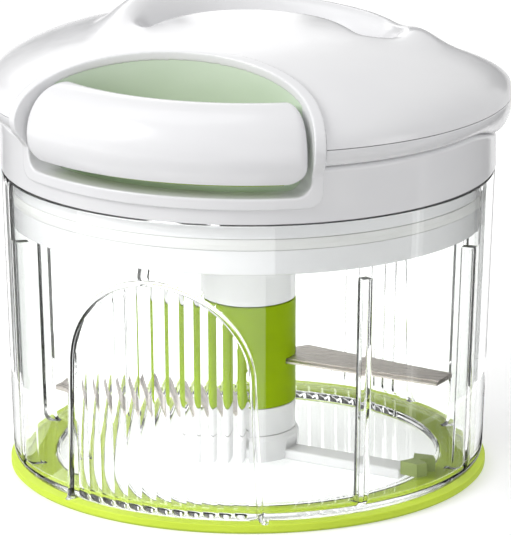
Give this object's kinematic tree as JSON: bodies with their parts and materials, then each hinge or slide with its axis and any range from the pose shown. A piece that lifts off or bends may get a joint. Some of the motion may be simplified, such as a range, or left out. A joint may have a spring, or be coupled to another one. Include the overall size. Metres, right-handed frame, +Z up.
{
  "type": "pull cord food chopper",
  "caption": "Hand food chopper: clear bowl on a green ring, bladed shaft on a pin, white lid with a cord reel and a pull handle.",
  "frame": {"origin": "middle of the underside of the base ring, on the axis of the bowl and the blades", "axes": "+Z up along the axis of the blades, -Y towards the pull handle, +X to the right seen from the handle"},
  "size_m": [0.1352, 0.1342, 0.1214],
  "materials": {
    "clear_plastic": "clear, polished",
    "white_plastic": "glossy white",
    "green_plastic": "satin green",
    "pale_green_plastic": "satin, pale green",
    "green_rubber": "soft, matte green",
    "grey_rubber": "soft, grey-green",
    "seal_rubber": "soft, milky",
    "steel": "brushed",
    "cord": "braided, off-white"
  },
  "bodies": {
    "bowl": {"bowl": "clear_plastic", "base_ring": "green_rubber", "pivot_pin": "steel"},
    "rotor": {"blade_hub": "green_plastic", "foot_tube": "white_plastic", "hub_bush": "white_plastic", "upper_blade": "steel", "lower_blade": "steel", "mixing_arm": "white_plastic", "arm_scraper": "grey_rubber"},
    "lid": {"lid_base": "white_plastic", "lid_dome": "white_plastic", "pocket_tub": "pale_green_plastic", "pocket_frame": "white_plastic", "lid_seal": "seal_rubber", "cord_eyelet": "seal_rubber", "shaft_bush": "green_plastic", "spring_case": "green_plastic", "recoil_spring": "steel", "chassis": "white_plastic", "chassis_screw_1": "steel", "chassis_screw_2": "steel", "chassis_screw_3": "steel", "lid_screw_1": "steel", "lid_screw_2": "steel", "lid_screw_3": "steel", "cord_run": "cord"},
    "drive": {"drive_socket": "white_plastic", "drive_shaft": "steel", "ratchet_wheel": "steel"},
    "reel": {"cord_reel": "white_plastic", "cord_winding": "cord"},
    "pawl_1": {"pawl_1": "steel"},
    "pawl_2": {"pawl_2": "steel"},
    "handle": {"handle_shell": "white_plastic", "handle_liner": "green_plastic", "handle_screw_1": "steel", "handle_screw_2": "steel", "cord_lead": "cord", "cord_knot": "cord"}
  },
  "joints": [
    {"name": "lid_lift", "type": "slide", "parent": "bowl", "child": "lid", "axis": [0, 0, 1], "range_m": [0, 0.08]},
    {"name": "handle_pull", "type": "slide", "parent": "lid", "child": "handle", "axis": [0, -1, 0], "range_m": [0, 0.3], "stiffness_N_per_m": 12, "springref_m": -0.12},
    {"name": "reel_spin", "type": "hinge", "parent": "lid", "child": "reel", "pos_m": [0, 0, 0.0944], "axis": [0, 0, 1], "range_deg": [-905, 0]},
    {"name": "drive_spin", "type": "hinge", "parent": "lid", "child": "drive", "pos_m": [0, 0, 0.07], "axis": [0, 0, 1], "range_deg": [-905, 0]},
    {"name": "rotor_spin", "type": "hinge", "parent": "bowl", "child": "rotor", "pos_m": [0, 0, 0.02], "axis": [0, 0, 1], "range_deg": [-905, 0]},
    {"name": "pawl_1_swing", "type": "hinge", "parent": "reel", "child": "pawl_1", "pos_m": [0.017, 0, 0.1016], "axis": [0, 0, 1], "range_deg": [0, 14], "stiffness_Nm_per_rad": 0.001, "springref_deg": -11.46},
    {"name": "pawl_2_swing", "type": "hinge", "parent": "reel", "child": "pawl_2", "pos_m": [-0.017, 0, 0.1016], "axis": [0, 0, 1], "range_deg": [0, 14]}
  ],
  "couplings": [
    {"joint": "reel_spin", "follows": "handle_pull", "rad_per_m": -52.36},
    {"joint": "drive_spin", "follows": "handle_pull", "rad_per_m": -52.36},
    {"joint": "rotor_spin", "follows": "handle_pull", "rad_per_m": -52.36},
    {"joint": "pawl_2_swing", "follows": "pawl_1_swing", "ratio": 1}
  ]
}
